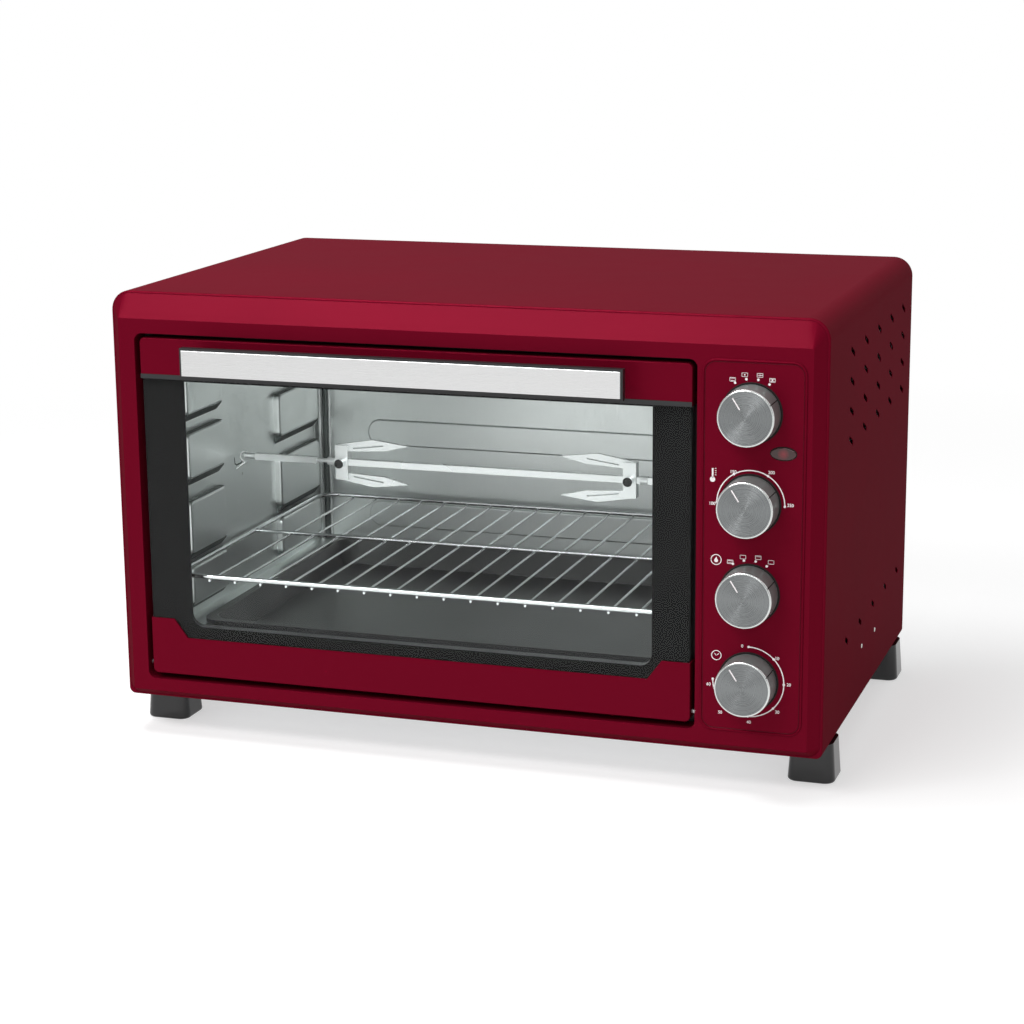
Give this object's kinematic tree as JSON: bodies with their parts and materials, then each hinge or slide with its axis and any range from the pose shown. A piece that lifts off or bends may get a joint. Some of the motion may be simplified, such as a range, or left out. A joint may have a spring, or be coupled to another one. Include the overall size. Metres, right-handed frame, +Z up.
{
  "type": "counter-top electric oven",
  "caption": "Counter-top electric oven with a drop-down glass door, rotisserie spit, wire rack, baking tray and a column of control knobs.",
  "frame": {"origin": "on the table under the middle of the whole oven's box, with the door closed", "axes": "+X to the right as seen from the front, +Y from the door towards the rear, +Z up"},
  "size_m": [0.5452, 0.3692, 0.3415],
  "materials": {
    "red_paint": "semi-gloss enamel, dark cherry red",
    "galvanised_steel": "plain zinc-coated sheet",
    "cavity_steel": "satin, slightly hazy reflective sheet",
    "black_enamel": "glossy baked enamel",
    "clear_glass": "clear tempered pane",
    "black_print": "opaque black ceramic print",
    "handle_steel": "brushed along its length",
    "black_plastic": "satin",
    "foot_plastic": "glossy moulded",
    "knob_metal": "spun in rings on the face, smooth on the side",
    "shaft_steel": "turned",
    "chrome_wire": "bright plated",
    "socket_steel": "turned",
    "element_sheath": "dull heat-darkened",
    "ceramic": "unglazed off-white",
    "red_lens": "translucent red",
    "lamp_glass": "small neon lamp",
    "switch_plastic": "moulded",
    "zinc_steel": "zinc plated"
  },
  "bodies": {
    "oven": {"outer_casing": "red_paint", "front_bezel": "red_paint", "control_panel": "red_paint", "rear_panel": "galvanised_steel", "base_plate": "galvanised_steel", "hinge_plates": "galvanised_steel", "liner_left": "cavity_steel", "liner_right": "cavity_steel", "liner_back": "cavity_steel", "liner_top": "cavity_steel", "liner_floor": "cavity_steel", "spit_bracket": "cavity_steel", "element_clips": "cavity_steel", "mouth_frame": "black_enamel", "panel_bracket": "black_enamel", "cable_gland": "black_plastic", "foot_front_left": "foot_plastic", "foot_front_right": "foot_plastic", "foot_rear_left": "foot_plastic", "foot_rear_right": "foot_plastic", "upper_element": "element_sheath", "lower_element": "element_sheath", "element_bushes": "ceramic", "terminal_block": "ceramic", "indicator_lens": "red_lens", "indicator_lamp": "lamp_glass", "function_switch": "switch_plastic", "mode_switch": "switch_plastic", "timer_unit": "zinc_steel", "thermostat": "zinc_steel", "rotisserie_motor": "zinc_steel", "casing_screws": "zinc_steel"},
    "door": {"door_top_strip": "red_paint", "door_bottom_strip": "red_paint", "door_glass": "clear_glass", "door_glass_print": "black_print", "door_inner_frame": "black_enamel", "handle_bar": "black_plastic", "handle_plate": "handle_steel", "handle_posts": "black_plastic", "handle_screws": "zinc_steel", "hinge_pins": "shaft_steel"},
    "rack": {"wire_rack": "chrome_wire"},
    "tray": {"bake_tray": "black_enamel"},
    "rotisserie": {"spit_rod": "chrome_wire", "spit_fork_left": "chrome_wire", "spit_fork_right": "chrome_wire", "fork_screws": "chrome_wire", "drive_socket": "socket_steel"},
    "mode_control": {"mode_knob": "knob_metal", "mode_shaft": "shaft_steel"},
    "temperature_control": {"temperature_knob": "knob_metal", "temperature_shaft": "shaft_steel"},
    "function_control": {"function_knob": "knob_metal", "function_shaft": "shaft_steel"},
    "timer_control": {"timer_knob": "knob_metal", "timer_shaft": "shaft_steel"}
  },
  "joints": [
    {"name": "door_hinge", "type": "hinge", "parent": "oven", "child": "door", "pos_m": [0, -0.1541, 0.057], "axis": [1, 0, 0], "range_deg": [0, 90]},
    {"name": "rack_slide", "type": "slide", "parent": "oven", "child": "rack", "axis": [0, -1, 0], "range_m": [0, 0.095]},
    {"name": "tray_slide", "type": "slide", "parent": "oven", "child": "tray", "axis": [0, -1, 0], "range_m": [0, 0.04]},
    {"name": "rotisserie_spin", "type": "hinge", "parent": "oven", "child": "rotisserie", "pos_m": [0, -0.0121, 0.1898], "axis": [1, 0, 0], "continuous": true},
    {"name": "mode_turn", "type": "hinge", "parent": "oven", "child": "mode_control", "pos_m": [0.2185, -0.1621, 0.2759], "axis": [0, 1, 0], "range_deg": [0, 60]},
    {"name": "temperature_turn", "type": "hinge", "parent": "oven", "child": "temperature_control", "pos_m": [0.2185, -0.1621, 0.2122], "axis": [0, 1, 0], "range_deg": [-60, 120]},
    {"name": "function_turn", "type": "hinge", "parent": "oven", "child": "function_control", "pos_m": [0.2185, -0.1621, 0.1485], "axis": [0, 1, 0], "range_deg": [0, 60]},
    {"name": "timer_turn", "type": "hinge", "parent": "oven", "child": "timer_control", "pos_m": [0.2185, -0.1621, 0.0848], "axis": [0, 1, 0], "range_deg": [0, 300]}
  ],
  "couplings": [
    {"joint": "rack_slide", "follows": "door_hinge", "m_per_rad": 0.06},
    {"joint": "tray_slide", "follows": "door_hinge", "m_per_rad": 0.025}
  ]
}
